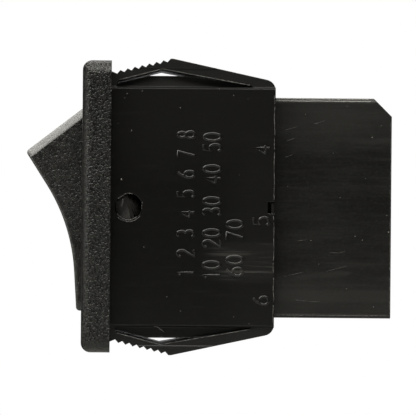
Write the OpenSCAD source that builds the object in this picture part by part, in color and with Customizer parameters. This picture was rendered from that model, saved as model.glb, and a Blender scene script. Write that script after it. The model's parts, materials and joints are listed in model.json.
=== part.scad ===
// Snap-in panel rocker switch, double pole, two positions.
// Frame: origin at the middle of the panel cut-out, in the plane of the panel's front face.
// +X runs through the panel to the terminals, +Y across the switch, +Z along the rocker.
// All sizes are in millimetres.

/* [Bezel] */
// Height of the bezel, along the rocker
bezel_h = 32.3; // [31.8:0.1:34]
// Width of the bezel
bezel_w = 25; // [24.6:0.1:28]
// How far the bezel stands in front of the panel
bezel_t = 3.2; // [2.6:0.1:3.6]
// Radius of the bezel's front edges
bezel_edge_r = 1.1; // [0.5:0.1:1.5]
// Radius of the bezel's corners, seen from the front
bezel_corner_r = 1.6; // [0.8:0.1:2.4]

/* [Panel cut-out] */
// Height of the cut-out that the switch snaps into
cutout_h = 30; // [29.8:0.1:30.2]
// Width of that cut-out
cutout_w = 22; // [21.9:0.1:23]
// Clearance between the body and each edge of the cut-out
cutout_gap = 0.05; // [0.02:0.01:0.15]

/* [Body] */
// Depth of the housing behind the panel
body_depth = 18.15; // [17.6:0.05:19.5]
// Rise of the side plates from the housing's core
plate_rise = 0.3; // [0.15:0.05:0.5]
// Height of the side plates
plate_h = 26.6; // [25.6:0.1:27.2]
// Slant of the side plates' upper and lower edges, seen from the side
plate_slant = 0.2; // [0.05:0.05:0.3]
// Wall between the well and the side of the core
side_wall = 1.4; // [1.1:0.05:1.6]
// Height of the well that the rocker moves in
well_h = 24.6; // [24.5:0.1:24.9]
// Chamfer round the opening in the bezel
opening_chamfer = 0.3; // [0.1:0.05:0.5]
// Depth of the snap groove and ridge that hold the base
snap_depth = 0.35; // [0.2:0.05:0.5]

/* [Wings] */
// Distance from the panel to the wings' highest point
apex_x = 6.3; // [6:0.1:6.8]
// Distance of the highest point from the middle plane
apex_z = 16.4; // [16.2:0.1:16.9]
// Number of panel teeth on each wing
tooth_count = 8; // [6:1:9]
// Height of each tooth's step
tooth_step = 0.4; // [0.2:0.02:0.44]
// Thickness of the wing at its highest point
wing_t = 1.15; // [0.9:0.05:1.3]
// Web that joins the wing to the housing behind the bezel
wing_web = 0.6; // [0.4:0.05:0.9]
// Radius of the wing's rear corner
wing_end_r = 1.2; // [0.6:0.1:1.4]
// How far the wing's outer part stands out to each side
pad_rise = 0.1; // [0.05:0.05:0.2]
// Depth of the recess in the housing's side under each wing
recess_depth = 0.9; // [0.4:0.1:1.2]

/* [Rocker] */
// Distance of the rocker's axis behind the panel's front face
pivot_x = 1.95; // [1.6:0.05:2.3]
// Tilt of the rocker to each side of its middle position
rocker_tilt = 18; // [14:0.5:18]
// Distance from the axis to the middle of the rocker's face
face_reach = 7.25; // [6.8:0.05:7.6]
// Radius of the hollow in the middle of the face
face_r = 20; // [17:0.5:26]
// Half height of that hollow, up to the flat paddles
hollow_half_h = 5; // [4:0.25:5.5]
// Distance of the rocker's front edges inside the radius of its skirts
tip_inset = 2.72; // [2.6:0.02:3]
// Lean of the end faces from the rocker's middle plane
end_lean = 19.6; // [17:0.2:21]
// Thickness of the rocker's walls
rocker_wall = 1.25; // [1:0.05:1.5]
// Gap between the rocker and the ends of the well
end_gap = 0.33; // [0.25:0.01:0.45]
// Gap between the rocker and the sides of the well
side_gap = 0.15; // [0.1:0.01:0.25]
// Radius of the edges between the end faces and the sides
rocker_edge_r = 0.8; // [0.4:0.05:1]
// Radius of the edges between the front face and the sides
face_edge_r = 0.4; // [0.2:0.05:0.6]
// Radius of the trunnion holes
trunnion_hole_r = 1.5; // [1.2:0.05:1.7]
// Radial clearance of the trunnions and of the plungers
running_gap = 0.08; // [0.04:0.01:0.1]

/* [Base] */
// Distance that the connector shroud stands out behind the housing
shroud_len = 12.92; // [12:0.02:14]
// Wall of the shroud
shroud_wall = 1.2; // [1:0.05:1.4]
// Depth of the base inside the housing
plug_depth = 2.65; // [2.3:0.05:3]
// Thickness of the base's floor
floor_t = 3.5; // [3:0.1:4.2]
// Chamfer of the shroud's upper rear corner
shroud_chamfer = 2; // [1:0.1:2.4]
// Clearance of the base in the housing, at each side and end
base_gap = 0.12; // [0.05:0.01:0.14]

/* [Terminals and contacts] */
// Distance of each pole from the middle plane
pole_y = 4.7; // [4.6:0.02:4.76]
// Spacing of the three terminals of a pole
terminal_pitch = 8.2; // [8:0.05:8.5]
// Width of a terminal tab
tab_w = 6.3; // [6:0.05:6.4]
// Thickness of a terminal tab
tab_t = 0.8; // [0.7:0.05:0.9]
// Distance of the tabs' ends inside the shroud's mouth
tab_recess = 2; // [1.5:0.1:4]
// Distance of the outer contacts from the contact arm's pivot
contact_z = 6.6; // [6.4:0.05:6.8]
// Radius of the contact rivets' heads
contact_r = 1.5; // [1.2:0.05:1.6]
// Thickness of the contact rivets' heads
contact_t = 0.8; // [0.6:0.05:0.9]
// Thickness of the contact arms
arm_t = 0.8; // [0.7:0.05:0.9]
// Width of the contact arms
arm_w = 5; // [4.4:0.1:5.4]
// Tilt of the contact arms to each side
arm_tilt = 7; // [5.5:0.25:7]

/* [Plungers and springs] */
// Radius of the plungers
plunger_r = 1.2; // [1.05:0.05:1.25]
// Wall of the rocker's stems round the plungers
stem_wall = 0.75; // [0.6:0.05:0.9]
// Distance from the rocker's axis to the ends of the stems
stem_reach = 6.3; // [5.8:0.1:6.6]
// Length of a spring as fitted
spring_len = 8; // [7:0.1:8.4]
// Radius of the spring wire
wire_r = 0.17; // [0.12:0.01:0.2]
// Turns of a spring
spring_turns = 9; // [7:1:11]

/* [Hidden] */

$fn = 64;
cut = 1;                // how far a cutting shape runs past a face
pole_1 = 1;             // the pole on the +Y side
pole_2 = -1;            // the pole on the -Y side
upper = 1;              // the +Z end
lower = -1;             // the -Z end

// Body and well
root_z = cutout_h / 2 - cutout_gap;
plate_y = cutout_w / 2 - cutout_gap - cutout_gap;
core_y = plate_y - plate_rise;
well_y = core_y - side_wall;
well_z = well_h / 2;
core_z = root_z - 0.5;  // top of the bump under each wing
rear_z = well_z + 1.2;  // foot of that bump, where the wing joins the housing
slot_end_x = body_depth - plug_depth - 0.1;
bump_front_x = 4;
bump_rear_x = 9.2;
pocket_step = 0.3;      // step in the well's sides that the base seats against

// Rocker, in its own frame: axis at the origin, face towards -X
skirt_r = well_z - end_gap;
tip_z = skirt_r - tip_inset;
paddle_a = asin(hollow_half_h / face_r);
hollow_x = -face_reach - face_r + sqrt(face_r ^ 2 - hollow_half_h ^ 2);
hollow_rise = face_r - sqrt(face_r ^ 2 - hollow_half_h ^ 2);
paddle_x = -face_reach - hollow_rise;
tip_x = paddle_x - (tip_z - hollow_half_h) * tan(paddle_a);
rocker_y = well_y - side_gap;
skirt_rear_x = 2.4;

// Base and terminals
floor_x = body_depth - plug_depth;
shroud_floor_x = floor_x + floor_t;
mouth_x = body_depth + shroud_len;
base_y = well_y + pocket_step - base_gap;
base_z = well_z - base_gap;
tab_end_x = mouth_x - tab_recess;
slot_fit = 0.05;

// Contact rivets and contact arms; an arm's own frame has its pivot at the origin
dome_r = 8.6;
contact_rest_gap = 0.03;
arm_rise = 1.9;         // front of the arms above the pivot
shank_r = 0.75;
shank_gap = 0.05;
moving_t = contact_t - 0.1;
face_h = arm_rise - arm_t - moving_t;
fixed_top_x = floor_x - tab_t - contact_t;
fulcrum_x = fixed_top_x - contact_rest_gap - dome_r - contact_z * sin(arm_tilt)
    + (face_h + dome_r) * cos(arm_tilt);
fulcrum_r = tab_t / 2 - 0.05;
fulcrum_gap = 0.05;
arm_half_len = contact_z + contact_r + 0.2;

// Plunger tip: its centre's path seen from the tilting arm sets the arm's saddle
slide_gap = 0.05;
axis_gap = fulcrum_x - pivot_x;
tip_reach = axis_gap - arm_t - plunger_r - slide_gap;
tip_side = tip_reach * sin(rocker_tilt);
tip_ahead = axis_gap - tip_reach * cos(rocker_tilt);
path_s = tip_side * cos(arm_tilt) - tip_ahead * sin(arm_tilt);
path_rise = tip_side * sin(arm_tilt) + tip_ahead * cos(arm_tilt) - (axis_gap - tip_reach);
path_r = (path_s ^ 2 + path_rise ^ 2) / (2 * path_rise);
saddle_r = path_r + plunger_r + slide_gap;

// Springs and stems, along the rocker's own X
bore_r = plunger_r + running_gap;
stem_r = bore_r + stem_wall;
pilot_len = 1.6;
bore_floor_x = -face_reach + rocker_wall + 1.1;
plunger_back_x = bore_floor_x + spring_len;
spring_seat_gap = 0.02;
coil_r = bore_r - wire_r - 0.06;

// Points on a circle from angle a0 to a1
function arc(cx, cy, r, a0, a1, n = 8) =
    [for (i = [0 : n]) [cx + r * cos(a0 + (a1 - a0) * i / n), cy + r * sin(a0 + (a1 - a0) * i / n)]];

// Solid through a list of rings that all have the same number of points
module swept(rings) {
    n = len(rings[0]);
    last = len(rings) - 1;
    sides = [for (k = [0 : last - 1], j = [0 : n - 1])
        [k * n + j, k * n + (j + 1) % n, (k + 1) * n + (j + 1) % n, (k + 1) * n + j]];
    caps = [[for (j = [0 : n - 1]) n - 1 - j], [for (j = [0 : n - 1]) last * n + j]];
    polyhedron(points = [for (ring = rings) each ring], faces = concat(sides, caps), convexity = 10);
}

// Places a side outline, drawn as X and Z, across the width w
module across(w) {
    rotate([90, 0, 0])
        linear_extrude(w, center = true)
            children();
}

// Puts a piece drawn in the rocker's own frame where the rocker rests
module on_rocker() {
    translate([pivot_x, 0, 0])
        rotate([0, -rocker_tilt, 0])
            children();
}

// Puts a piece drawn in a contact arm's own frame where the arm rests
module on_arm(pole) {
    translate([fulcrum_x, pole * pole_y, 0])
        rotate([0, arm_tilt, 0])
            children();
}

module both_sides() {
    children();
    mirror([0, 1, 0]) children();
}

module both_ends() {
    children();
    mirror([0, 0, 1]) children();
}

// ---- Housing -------------------------------------------------------------

module bezel_solid() {
    h = bezel_h / 2;
    w = bezel_w / 2;
    r = bezel_edge_r;
    c = bezel_corner_r;
    n = 12;
    intersection() {
        across(bezel_w + cut)
            polygon(concat([[0, -h]], [[0, h]],
                arc(-bezel_t + r, h - r, r, 90, 180, n),
                arc(-bezel_t + r, -h + r, r, 180, 270, n)));
        linear_extrude(bezel_h + cut, center = true)
            polygon(concat([[0, -w]], [[0, w]],
                arc(-bezel_t + r, w - r, r, 90, 180, n),
                arc(-bezel_t + r, -w + r, r, 180, 270, n)));
        translate([-bezel_t - cut, 0, 0])
            rotate([0, 90, 0])
                linear_extrude(bezel_t + cut)
                    polygon(concat(
                        arc(h - c, w - c, c, 0, 90, n), arc(-h + c, w - c, c, 90, 180, n),
                        arc(-h + c, -w + c, c, 180, 270, n), arc(h - c, -w + c, c, 270, 360, n)));
    }
}

// Chamfer round the opening, mitred at its corners
module opening_flare() {
    c = opening_chamfer;
    x0 = -bezel_t - cut;
    x1 = -bezel_t + c;
    intersection() {
        across(bezel_w)
            polygon([[x0, -well_z - c - cut], [x0, well_z + c + cut], [x1, well_z], [x1, -well_z]]);
        linear_extrude(bezel_h, center = true)
            polygon([[x0, -well_y - c - cut], [x0, well_y + c + cut], [x1, well_y], [x1, -well_y]]);
    }
}

// Outline of the body's upper half with its wing, in X and Z
first_tooth_x = 0.6;
tooth_front = 0.45;     // share of a tooth's pitch that its front takes
tooth_dip = 0.25;       // depth of the first notch below the wing's root
tooth_pitch = (apex_x + 0.2 - first_tooth_x) / (tooth_count - 1 + tooth_front);
tooth_rise = (apex_z + tooth_dip - tooth_step - root_z) / (tooth_count - 1);
ramp_fall = 0.75;       // the ramp's extra fall, down to the rear corner's centre
ramp_a = atan((apex_z - rear_z - wing_end_r + ramp_fall) / (body_depth - apex_x));
wing_end_x = body_depth - wing_end_r;
wing_end_z = apex_z - (wing_end_x - apex_x) * tan(ramp_a) - wing_end_r / cos(ramp_a);

function tooth(i) =
    let (x = first_tooth_x + i * tooth_pitch, z = root_z - tooth_dip + i * tooth_rise)
    [[x, z], [x + tooth_front * tooth_pitch, z + tooth_step]];

function upper_outline() = concat(
    [[0, root_z]],
    [for (i = [0 : tooth_count - 1]) each tooth(i)],
    [[apex_x + 0.5, apex_z]],
    arc(wing_end_x, wing_end_z, wing_end_r, 90 - ramp_a, 0, 6));

module body_outline() {
    polygon(concat([[-0.5, 0], [-0.5, root_z]], upper_outline(), [[body_depth, 0]]));
    mirror([0, 1])
        polygon(concat([[-0.5, 0], [-0.5, root_z]], upper_outline(), [[body_depth, 0]]));
}

// Gap under a wing, open through the whole width
module wing_slot() {
    front_z = core_z - 0.85;
    polygon([[wing_web, front_z], [bump_front_x, core_z], [bump_rear_x, core_z],
        [slot_end_x, rear_z], [apex_x - 0.7, apex_z - wing_t], [wing_web + 0.2, front_z + 0.4]]);
}

// Recess under a wing, down to the side plate's edge
module wing_recess() {
    polygon([[wing_web, plate_h / 2], [slot_end_x + 0.3, plate_h / 2], [slot_end_x, rear_z],
        [apex_x - 0.7, apex_z - wing_t], [wing_web + 0.2, core_z - 0.45], [wing_web, core_z - 0.85]]);
}

// Outer part of a wing, which stands a little proud of the wing's sides
module wing_pad() {
    pad_z = apex_z - wing_t + 0.1;
    across(2 * (core_y + pad_rise)) intersection() {
        body_outline();
        translate([0, pad_z]) square([body_depth, apex_z]);
    }
}

module side_plate() {
    half = plate_h / 2;
    along(0, body_depth)
        polygon([[core_y - cut, -half], [core_y, -half], [core_y + plate_rise, -half + plate_slant],
            [core_y + plate_rise, half - plate_slant], [core_y, half], [core_y - cut, half]]);
}

// Room for the rocker, the contacts and, behind a small step, the base
module well() {
    translate([-bezel_t - cut, -well_y, -well_z])
        cube([bezel_t + cut + body_depth + cut, 2 * well_y, well_h]);
    translate([floor_x, -well_y - pocket_step, -well_z])
        cube([plug_depth + cut, 2 * (well_y + pocket_step), well_h]);
}

module housing() {
    color("#20201e") difference() {
        union() {
            bezel_solid();
            across(2 * core_y) difference() {
                body_outline();
                wing_slot();
                mirror([0, 1]) wing_slot();
            }
            both_sides() side_plate();
            both_ends() wing_pad();
        }
        well();
        opening_flare();
        both_ends() both_sides()
            translate([0, cutout_w / 2 + core_y - recess_depth, 0])
                across(cutout_w)
                    wing_recess();
        both_ends() snap_groove();
        translate([pivot_x, 0, 0])
            rotate([90, 0, 0])
                cylinder(h = cutout_w + 2 * cut, r = trunnion_hole_r, center = true);
        translate([body_depth - notch_len, -cutout_w, -lug_h / 2 - slot_fit])
            cube([notch_len + cut, 2 * cutout_w, lug_h + 2 * slot_fit]);
    }
}

// ---- Snap fit of the base ------------------------------------------------

notch_len = 0.78;
lug_len = 0.38;
lug_h = 1.2;
snap_x = floor_x + plug_depth / 2;
snap_w = 12;

module snap_groove() {
    translate([snap_x, 0, well_z])
        across(snap_w + 0.4)
            polygon([[-0.75, -0.2], [-0.45, snap_depth + 0.1], [0.45, snap_depth + 0.1], [0.75, -0.2]]);
}

module snap_ridge() {
    translate([snap_x, 0, base_z])
        across(snap_w)
            polygon([[-0.65, -0.2], [-0.3, snap_depth], [0.3, snap_depth], [0.5, -0.2]]);
}

// ---- Rocker --------------------------------------------------------------

// Farther point where the line from p at the angle a leaves the circle r round the origin
function leaves_circle(p, a, r) =
    let (b = p[0] * cos(a) + p[1] * sin(a), c = p[0] ^ 2 + p[1] ^ 2 - r ^ 2, t = -b + sqrt(b ^ 2 - c))
    [p[0] + t * cos(a), p[1] + t * sin(a)];

function unit(v) = v / norm(v);

// Centre of the circle of radius r that touches both lines of the corner a-b-c
function corner_centre(a, b, c, r) =
    let (u = unit(a - b), v = unit(c - b), half = acos(u * v) / 2)
    b + unit(u + v) * r / sin(half);

// Rounded corner a-b-c as points
function corner(a, b, c, r, n = 5) =
    let (u = unit(a - b), v = unit(c - b), half = acos(u * v) / 2, m = corner_centre(a, b, c, r),
        p = b + u * r / tan(half) - m, q = b + v * r / tan(half) - m)
    [for (i = [0 : n]) m + r * unit(p * (n - i) / n + q * i / n)];

rocker_tip = [tip_x, tip_z];
paddle_foot = [paddle_x, hollow_half_h];
end_foot = leaves_circle(rocker_tip, end_lean, skirt_r);
inner_tip = corner_centre(paddle_foot, rocker_tip, end_foot, rocker_wall);
inner_foot = leaves_circle(inner_tip, end_lean, skirt_r - rocker_wall);
tip_edge_r = 0.4;

function angle_of(p) = atan2(p[1], p[0]);

// Upper half of the rocker's front face, from the middle of its hollow to the paddle's foot
hollow_half = arc(-face_reach - face_r, 0, face_r, 0, paddle_a, 10);

// Upper half of the rocker's outer side outline, from the hollow to the skirt's rear edge
outer_half = concat(
    hollow_half,
    corner(paddle_foot, rocker_tip, end_foot, tip_edge_r),
    arc(0, 0, skirt_r, angle_of(end_foot), acos(skirt_rear_x / skirt_r), 6),
    [[skirt_rear_x, 0]]);

// The same for the space inside it
inner_half = concat(
    [[-face_reach + rocker_wall, 0], [paddle_x + rocker_wall, hollow_half_h], inner_tip],
    arc(0, 0, skirt_r - rocker_wall, angle_of(inner_foot), acos(skirt_rear_x / skirt_r), 6),
    [[skirt_rear_x + cut, skirt_r - 2 * rocker_wall], [skirt_rear_x + cut, 0]]);

module mirrored_outline(points) {
    polygon(points);
    mirror([0, 1]) polygon(points);
}

// Rounds the edges between an end face and the sides
module end_edge_cut() {
    r = rocker_edge_r;
    e = rocker_y;
    translate([tip_x, 0, tip_z])
        rotate([0, -end_lean, 0])
            translate([-1.5, 0, 0])
                rotate([90, 0, 90])
                    linear_extrude(norm(end_foot - rocker_tip) + 4)
                        polygon(concat([[e + cut, cut], [e - r, cut]], arc(e - r, -r, r, 90, 0, 8),
                            [[e + cut, -r]]));
}

// Section of the cut that rounds an edge between the front face and a side: depth and Y
face_edge_section = concat(
    [[-cut, rocker_y + cut], [-cut, rocker_y - face_edge_r]],
    arc(face_edge_r, rocker_y - face_edge_r, face_edge_r, 180, 90, 5),
    [[face_edge_r, rocker_y + cut]]);

// Front face's outline as X and Z, from past its upper edge to past its lower one
face_path =
    let (end = rocker_tip + unit(rocker_tip - paddle_foot) * cut, last = len(hollow_half) - 1)
    concat([end], [for (i = [last : -1 : 0]) hollow_half[i]],
        [for (i = [1 : last]) [hollow_half[i][0], -hollow_half[i][1]]], [[end[0], -end[1]]]);

// Direction into the rocker from point i of that outline, mitred between its two stretches
function into_face(i) =
    let (last = len(face_path) - 1,
        a = unit(face_path[min(i + 1, last)] - face_path[min(i, last - 1)]),
        b = unit(face_path[max(i, 1)] - face_path[max(i - 1, 0)]))
    [-a[1] - b[1], a[0] + b[0]] / (1 + a * b);

// Rounds the edges between the front face and the sides
module face_edge_cut() {
    swept([for (i = [0 : len(face_path) - 1])
        [for (s = face_edge_section)
            let (p = face_path[i] + s[0] * into_face(i))
            [p[0], s[1], p[1]]]]);
}

trunnion_r = trunnion_hole_r - running_gap;
trunnion_end_y = plate_y - 0.15;

// Trunnion with the slanted face that lets it snap in from the front
module trunnion() {
    difference() {
        translate([0, rocker_y - rocker_wall / 2, 0])
            rotate([-90, 0, 0])
                cylinder(h = trunnion_end_y - rocker_y + rocker_wall / 2, r = trunnion_r);
        linear_extrude(4 * trunnion_r, center = true)
            polygon([[-0.15, trunnion_end_y + cut], [-0.15, trunnion_end_y],
                [trunnion_r + 0.3, trunnion_end_y - 1.15], [trunnion_r + 0.3, trunnion_end_y + cut]]);
    }
}

module stem(pole) {
    translate([-face_reach + rocker_wall / 2, pole * pole_y, 0])
        rotate([0, 90, 0])
            cylinder(h = stem_reach + face_reach - rocker_wall / 2, r = stem_r);
}

module stem_bore(pole) {
    translate([bore_floor_x, pole * pole_y, 0])
        rotate([0, 90, 0])
            cylinder(h = stem_reach - bore_floor_x + cut, r = bore_r);
}

module rocker() {
    web_front_x = -face_reach + rocker_wall / 2;
    color("#3a3b37") on_rocker() difference() {
        union() {
            difference() {
                across(2 * rocker_y) mirrored_outline(outer_half);
                across(2 * (rocker_y - rocker_wall)) mirrored_outline(inner_half);
                both_ends() both_sides() end_edge_cut();
                both_sides() face_edge_cut();
            }
            both_sides() trunnion();
            stem(pole_1);
            stem(pole_2);
            translate([web_front_x, -rocker_y + rocker_wall / 2, -0.5])
                cube([-2 - web_front_x, 2 * rocker_y - rocker_wall, 1]);
        }
        stem_bore(pole_1);
        stem_bore(pole_2);
    }
}

// ---- Base with connector shroud -------------------------------------------

socket_y = base_y - shroud_wall;
socket_z = base_z - shroud_wall;
partition_x = floor_x - 5.7;
partition_t = 1;
partition_z = arm_half_len + 1.2;

function rounded_rect(w, h, r, n = 4) = concat(
    arc(w - r, h - r, r, 0, 90, n), arc(-w + r, h - r, r, 90, 180, n),
    arc(-w + r, -h + r, r, 180, 270, n), arc(w - r, -h + r, r, 270, 360, n));

// Extrudes an outline drawn as Y and Z from x0 to x1
module along(x0, x1) {
    translate([x0, 0, 0])
        rotate([90, 0, 90])
            linear_extrude(x1 - x0)
                children();
}

module tab_slot(pole, row) {
    translate([floor_x - cut, pole * pole_y - tab_w / 2 - slot_fit, row * terminal_pitch - tab_t / 2 - slot_fit])
        cube([floor_t + 2 * cut, tab_w + 2 * slot_fit, tab_t + 2 * slot_fit]);
}

module base() {
    color("#2c2e2b") difference() {
        union() {
            along(floor_x, mouth_x) polygon(rounded_rect(base_y, base_z, 0.5));
            translate([partition_x, -partition_t / 2, -partition_z])
                cube([floor_x - partition_x + slot_fit, partition_t, 2 * partition_z]);
            both_ends() snap_ridge();
            both_sides() translate([body_depth - lug_len, base_y - 0.5, -lug_h / 2])
                cube([lug_len - 0.05, core_y + plate_rise / 2 - base_y + 0.5, lug_h]);
        }
        along(shroud_floor_x, mouth_x + cut) polygon(rounded_rect(socket_y, socket_z, 0.4));
        across(2 * base_y + cut)
            polygon([[mouth_x - shroud_chamfer, base_z], [mouth_x, base_z - shroud_chamfer],
                [mouth_x + cut, base_z - shroud_chamfer], [mouth_x + cut, base_z + cut],
                [mouth_x - shroud_chamfer, base_z + cut]]);
        for (pole = [pole_1, pole_2], row = [lower, 0, upper]) tab_slot(pole, row);
    }
}

// ---- Terminals -------------------------------------------------------------

tab_tip = 0.9;
tab_hole_r = 0.85;
tab_hole_back = 3.2;
prong_gap_y = 1.95;
prong_reach = 1.6;
yoke_w = 7;

// Tab outline as X and Y, with its tapered tip and its locking hole
module tab_outline(x0) {
    w = tab_w / 2;
    difference() {
        polygon([[x0, -w], [tab_end_x - tab_tip, -w], [tab_end_x, -w + tab_tip],
            [tab_end_x, w - tab_tip], [tab_end_x - tab_tip, w], [x0, w]]);
        translate([tab_end_x - tab_hole_back, 0]) circle(tab_hole_r);
    }
}

// Middle terminal: its inner end is a yoke whose round edge carries the contact arm
module terminal_common(pole) {
    edge_x = fulcrum_x + 0.15;
    color("#b98a3c") translate([0, pole * pole_y, 0]) {
        linear_extrude(tab_t, center = true) {
            tab_outline(floor_x - cut);
            difference() {
                translate([fulcrum_x - prong_reach, -yoke_w / 2])
                    square([floor_x - fulcrum_x + prong_reach, yoke_w]);
                translate([fulcrum_x - prong_reach - cut, -prong_gap_y])
                    square([edge_x - fulcrum_x + prong_reach + cut, 2 * prong_gap_y]);
            }
        }
        translate([fulcrum_x, 0, 0])
            rotate([90, 0, 0])
                cylinder(h = 2 * prong_gap_y + 0.2, r = fulcrum_r, center = true);
    }
}

// Outer terminal: its inner end is bent over to carry the fixed contact
module terminal_outer(pole, end) {
    outer_z = terminal_pitch + tab_t / 2;
    inner_z = contact_z - contact_r - 0.4;
    bend_r = 0.6;
    color("#b98a3c") translate([0, pole * pole_y, 0]) mirror([0, 0, end == lower ? 1 : 0])
        difference() {
            union() {
                across(tab_w)
                    polygon(concat([[floor_x, inner_z], [floor_x - tab_t, inner_z]],
                        arc(floor_x - tab_t + bend_r, outer_z - bend_r, bend_r, 180, 90, 4),
                        [[floor_x + 1, outer_z], [floor_x + 1, outer_z - tab_t],
                            [floor_x, outer_z - tab_t]]));
                translate([0, 0, terminal_pitch])
                    linear_extrude(tab_t, center = true)
                        tab_outline(floor_x + 0.5);
            }
            translate([floor_x - tab_t - cut, 0, contact_z])
                rotate([0, 90, 0])
                    cylinder(h = tab_t + 2 * cut, r = shank_r + shank_gap);
        }
}

// ---- Contacts --------------------------------------------------------------

module fixed_contact(pole, end) {
    color("#c9c7c0") translate([fixed_top_x, pole * pole_y, end * contact_z])
        rotate([0, 90, 0])
            union() {
                cylinder(h = contact_t, r = contact_r);
                cylinder(h = contact_t + tab_t, r = shank_r);
            }
}

module moving_contact(pole, end) {
    dome_half_a = asin(contact_r / dome_r);
    color("#c9c7c0") on_arm(pole) translate([0, 0, end * contact_z])
        rotate([0, 90, 0])
            rotate_extrude()
                polygon(concat(
                    [[0, -arm_rise], [shank_r, -arm_rise], [shank_r, -arm_rise + arm_t],
                        [contact_r, -arm_rise + arm_t]],
                    arc(0, -face_h - dome_r, dome_r, 90 - dome_half_a, 90, 5)));
}

// Contact arm: a strip with a saddle that sits on the yoke's edge and guides the plunger
module contact_arm(pole) {
    saddle_mid = axis_gap - tip_reach + path_r;
    waist_half = 0.95;
    waist_y = prong_gap_y - 0.15;
    color("#c08a45") on_arm(pole) difference() {
        across(arm_w) rotate(90) difference() {
            union() {
                translate([-arm_half_len, arm_rise - arm_t]) square([2 * arm_half_len, arm_t]);
                intersection() {
                    translate([0, saddle_mid]) circle(saddle_r + arm_t);
                    translate([-arm_half_len, -cut]) square([2 * arm_half_len, arm_rise + cut]);
                }
            }
            translate([0, saddle_mid]) circle(saddle_r);
            circle(fulcrum_r + fulcrum_gap);
        }
        both_sides() translate([-arm_rise - cut, waist_y, -waist_half])
            cube([arm_rise + 2 * cut, arm_w, 2 * waist_half]);
        both_ends() translate([-arm_rise - cut, 0, contact_z])
            rotate([0, 90, 0])
                cylinder(h = arm_rise + 2 * cut, r = shank_r + shank_gap);
    }
}

// ---- Plungers and springs --------------------------------------------------

module plunger(pole) {
    pilot_r = 0.55;
    color("#d8d4c6") on_rocker() translate([0, pole * pole_y, 0])
        rotate([0, 90, 0])
            rotate_extrude()
                polygon(concat(
                    [[0, plunger_back_x - pilot_len], [pilot_r, plunger_back_x - pilot_len],
                        [pilot_r, plunger_back_x], [plunger_r, plunger_back_x]],
                    arc(0, tip_reach, plunger_r, 0, 90)));
}

wire_sides = 6;
turn_steps = 12;

function helix_point(k, k_end, len) =
    let (a = 360 * spring_turns * k / k_end) [len * k / k_end, coil_r * cos(a), coil_r * sin(a)];

// One ring of the wire's section, square to the coil
function wire_ring(k, k_end, len) =
    let (a = 360 * spring_turns * k / k_end, p = helix_point(k, k_end, len))
    [for (j = [0 : wire_sides - 1])
        let (b = 360 * j / wire_sides)
        p + wire_r * [sin(b), cos(b) * cos(a), cos(b) * sin(a)]];

module spring(pole) {
    k_end = spring_turns * turn_steps;
    len = spring_len - 2 * (wire_r + spring_seat_gap);
    color("#9a9a98") on_rocker()
        translate([bore_floor_x + wire_r + spring_seat_gap, pole * pole_y, 0])
            swept([for (k = [0 : k_end]) wire_ring(k, k_end, len)]);
}

housing();
rocker();
base();
terminal_outer(pole_1, upper);  // terminal_1a
terminal_common(pole_1);  // terminal_1_common
terminal_outer(pole_1, lower);  // terminal_1b
terminal_outer(pole_2, upper);  // terminal_2a
terminal_common(pole_2);  // terminal_2_common
terminal_outer(pole_2, lower);  // terminal_2b
fixed_contact(pole_1, upper);  // fixed_contact_1a
fixed_contact(pole_1, lower);  // fixed_contact_1b
fixed_contact(pole_2, upper);  // fixed_contact_2a
fixed_contact(pole_2, lower);  // fixed_contact_2b
contact_arm(pole_1);  // contact_arm_1
contact_arm(pole_2);  // contact_arm_2
moving_contact(pole_1, upper);  // moving_contact_1a
moving_contact(pole_1, lower);  // moving_contact_1b
moving_contact(pole_2, upper);  // moving_contact_2a
moving_contact(pole_2, lower);  // moving_contact_2b
plunger(pole_1);  // plunger_1
plunger(pole_2);  // plunger_2
spring(pole_1);  // spring_1
spring(pole_2);  // spring_2
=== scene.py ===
"""Looks of the panel rocker switch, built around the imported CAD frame."""
import json
import math
import random

import bmesh
import bpy
from mathutils import Matrix, Quaternion, Vector


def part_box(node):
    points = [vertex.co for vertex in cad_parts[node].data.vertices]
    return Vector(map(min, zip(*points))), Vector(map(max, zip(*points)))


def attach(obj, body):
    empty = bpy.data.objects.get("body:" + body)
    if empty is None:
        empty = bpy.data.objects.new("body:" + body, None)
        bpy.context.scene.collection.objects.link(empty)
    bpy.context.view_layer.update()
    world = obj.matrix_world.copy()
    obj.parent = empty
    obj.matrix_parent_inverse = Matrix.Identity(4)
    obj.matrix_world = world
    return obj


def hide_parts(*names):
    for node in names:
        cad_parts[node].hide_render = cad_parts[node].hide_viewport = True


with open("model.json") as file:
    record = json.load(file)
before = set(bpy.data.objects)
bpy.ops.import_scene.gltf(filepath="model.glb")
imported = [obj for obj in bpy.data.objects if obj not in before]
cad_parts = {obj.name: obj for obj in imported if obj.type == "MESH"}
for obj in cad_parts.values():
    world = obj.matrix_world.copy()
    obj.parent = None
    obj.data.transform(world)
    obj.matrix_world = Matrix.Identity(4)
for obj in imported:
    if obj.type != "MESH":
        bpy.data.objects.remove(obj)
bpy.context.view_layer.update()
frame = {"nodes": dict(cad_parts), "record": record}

MM = 0.001
ROCKER_JOINT = next(j for j in frame["record"]["behaviour"]["joints"] if j["name"] == "rocker_tilt")
PIVOT_X = ROCKER_JOINT["pos_m"][0]


# ---- Camera, lights and floor ----------------------------------------------

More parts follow.
